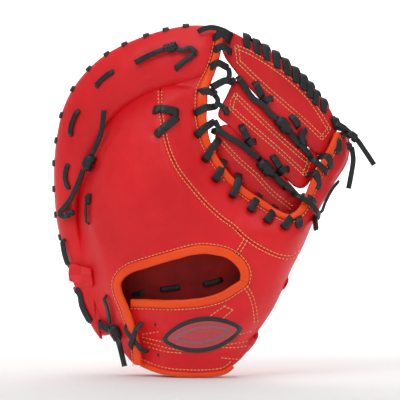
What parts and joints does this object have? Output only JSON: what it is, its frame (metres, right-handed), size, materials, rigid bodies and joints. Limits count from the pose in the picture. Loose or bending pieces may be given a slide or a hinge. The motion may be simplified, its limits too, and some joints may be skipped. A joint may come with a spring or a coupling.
{
  "type": "first baseman's mitt",
  "caption": "Left-hand first baseman's mitt, back view up: padded finger and thumb sides that fold round a laced post web, with a sliding wrist strap.",
  "frame": {"origin": "centre of the hand opening, in the middle of the space for the hand", "axes": "+X towards the thumb, +Z from the wrist to the finger tips, +Y out of the palm, so the back of the mitt faces -Y"},
  "size_m": [0.3142, 0.1162, 0.3377],
  "materials": {
    "back_leather": "semi-gloss grained",
    "palm_leather": "semi-gloss, finer grain",
    "binding": "semi-gloss",
    "lace": "waxed, satin",
    "lining": "matt",
    "loop_leather": "matt",
    "felt": "matt felt",
    "emblem": "satin thread"
  },
  "bodies": {
    "finger_side": {"back_finger_panel": "back_leather", "back_index_panel": "back_leather", "rim_band": "back_leather", "rim_pad": "felt", "palm_shell_finger": "palm_leather", "finger_pad": "felt", "palm_liner": "lining", "finger_loop": "loop_leather", "heel_roll": "back_leather", "little_finger_tab": "back_leather", "web_binding_finger": "binding", "wrist_binding": "binding", "rim_lace": "lace", "band_lace": "lace", "top_knot_lace": "lace", "top_lace_tail": "lace", "seam_lace": "lace", "side_lace": "lace", "side_lace_tail": "lace", "heel_lace": "lace", "heel_lace_tail": "lace", "palm_lace": "lace", "strap_lace": "lace", "web_lace_finger": "lace"},
    "wrist_strap_body": {"wrist_strap": "back_leather", "strap_lining": "lining", "strap_top_binding": "binding", "strap_end_binding": "binding", "emblem_patch": "emblem"},
    "thumb_side": {"thumb_panel": "back_leather", "thumb_upper_panel": "back_leather", "thumb_rim_band": "back_leather", "palm_shell_thumb": "palm_leather", "thumb_pad": "felt", "thumb_liner": "lining", "thumb_loop": "loop_leather", "web_binding_thumb": "binding", "web_top_post": "palm_leather", "web_middle_post": "palm_leather", "web_lower_post": "palm_leather", "web_edge_lace": "lace", "upper_braid_lace": "lace", "lower_braid_lace": "lace", "web_lace_thumb": "lace", "thumb_knot_lace": "lace", "thumb_lace_tail_a": "lace", "thumb_lace_tail_b": "lace"}
  },
  "joints": [
    {"name": "close", "type": "hinge", "parent": "finger_side", "child": "thumb_side", "pos_m": [0.042, 0.008, 0.236], "axis": [-0.0808, 0, 0.9967], "range_deg": [0, 35]},
    {"name": "strap_fit", "type": "slide", "parent": "finger_side", "child": "wrist_strap_body", "axis": [-0.85, 0.5268, 0], "range_m": [0, 0.008]}
  ]
}
